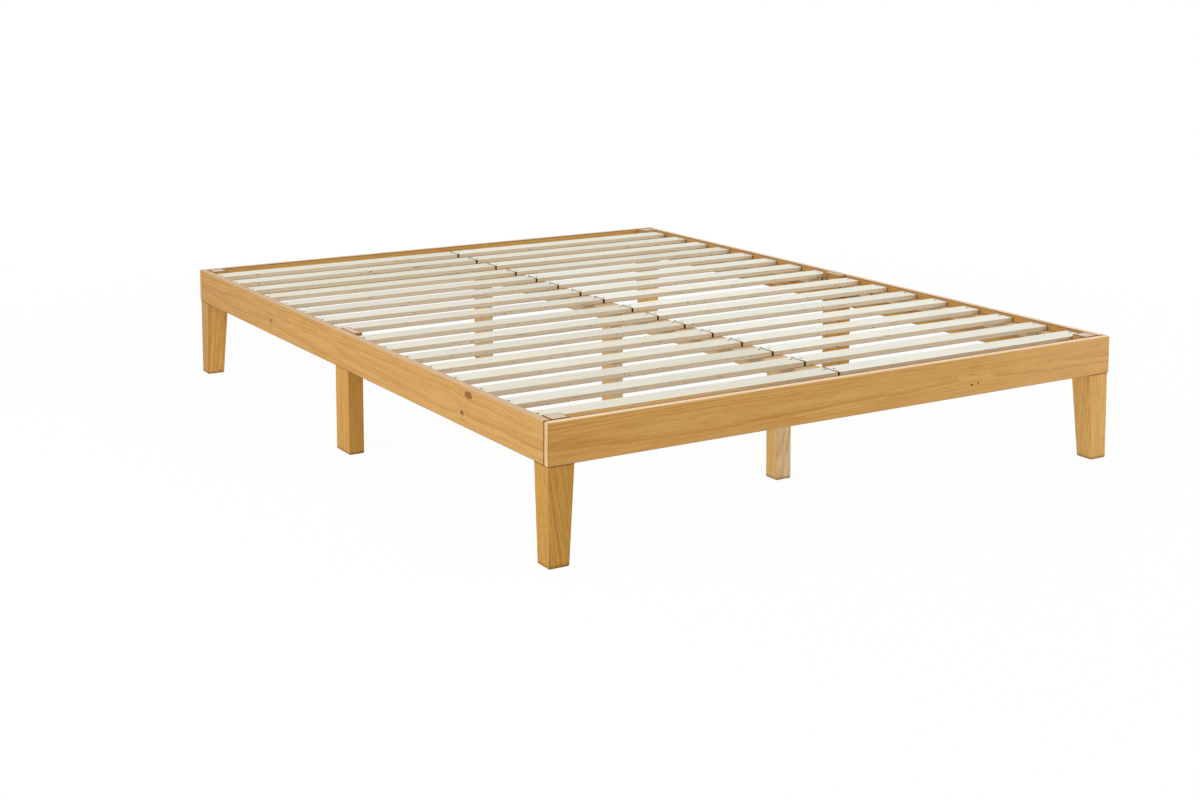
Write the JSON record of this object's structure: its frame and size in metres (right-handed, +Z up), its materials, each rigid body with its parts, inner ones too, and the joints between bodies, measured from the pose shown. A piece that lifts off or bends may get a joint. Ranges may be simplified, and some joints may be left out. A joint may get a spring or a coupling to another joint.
{
  "type": "platform bed frame",
  "caption": "Low timber platform bed frame with flat rails, tapered corner legs, centre beam on legs and two rows of slats that hold a mattress.",
  "frame": {"origin": "on the floor under the middle of the bed", "axes": "+X across the bed to its right side seen from the foot, +Y along the bed towards the head end, +Z up"},
  "size_m": [1.58, 2.09, 0.305],
  "materials": {
    "stained_rail": "honey-stained pine under satin lacquer",
    "stained_leg": "honey-stained pine under satin lacquer",
    "slat_timber": "planed unfinished pale pine",
    "bare_timber": "planed unfinished pine",
    "bracket_steel": "zinc plated",
    "bolt_steel": "zinc plated",
    "insert_zinc": "yellow passivated zinc",
    "screw_steel": "black phosphate"
  },
  "bodies": {
    "root": {"foot_rail": "stained_rail", "head_rail": "stained_rail", "left_side_rail": "stained_rail", "right_side_rail": "stained_rail", "left_foot_leg": "stained_leg", "left_head_leg": "stained_leg", "right_foot_leg": "stained_leg", "right_head_leg": "stained_leg", "left_side_leg": "stained_leg", "right_side_leg": "stained_leg", "centre_leg_foot": "stained_leg", "centre_leg_middle": "stained_leg", "centre_leg_head": "stained_leg", "centre_beam": "bare_timber", "left_foot_ledger": "bare_timber", "left_head_ledger": "bare_timber", "right_foot_ledger": "bare_timber", "right_head_ledger": "bare_timber", "left_slat_01": "slat_timber", "left_slat_02": "slat_timber", "left_slat_03": "slat_timber", "left_slat_04": "slat_timber", "left_slat_05": "slat_timber", "left_slat_06": "slat_timber", "left_slat_07": "slat_timber", "left_slat_08": "slat_timber", "left_slat_09": "slat_timber", "left_slat_10": "slat_timber", "left_slat_11": "slat_timber", "left_slat_12": "slat_timber", "left_slat_13": "slat_timber", "left_slat_14": "slat_timber", "left_slat_15": "slat_timber", "left_slat_16": "slat_timber", "right_slat_01": "slat_timber", "right_slat_02": "slat_timber", "right_slat_03": "slat_timber", "right_slat_04": "slat_timber", "right_slat_05": "slat_timber", "right_slat_06": "slat_timber", "right_slat_07": "slat_timber", "right_slat_08": "slat_timber", "right_slat_09": "slat_timber", "right_slat_10": "slat_timber", "right_slat_11": "slat_timber", "right_slat_12": "slat_timber", "right_slat_13": "slat_timber", "right_slat_14": "slat_timber", "right_slat_15": "slat_timber", "right_slat_16": "slat_timber", "beam_brackets": "bracket_steel", "corner_bolts": "bolt_steel", "side_leg_bolts": "bolt_steel", "bolt_washers": "bolt_steel", "centre_leg_bolts": "bolt_steel", "rail_inserts": "insert_zinc", "beam_inserts": "insert_zinc", "slat_screws": "screw_steel", "ledger_screws": "screw_steel", "bracket_screws": "screw_steel"}
  },
  "joints": []
}
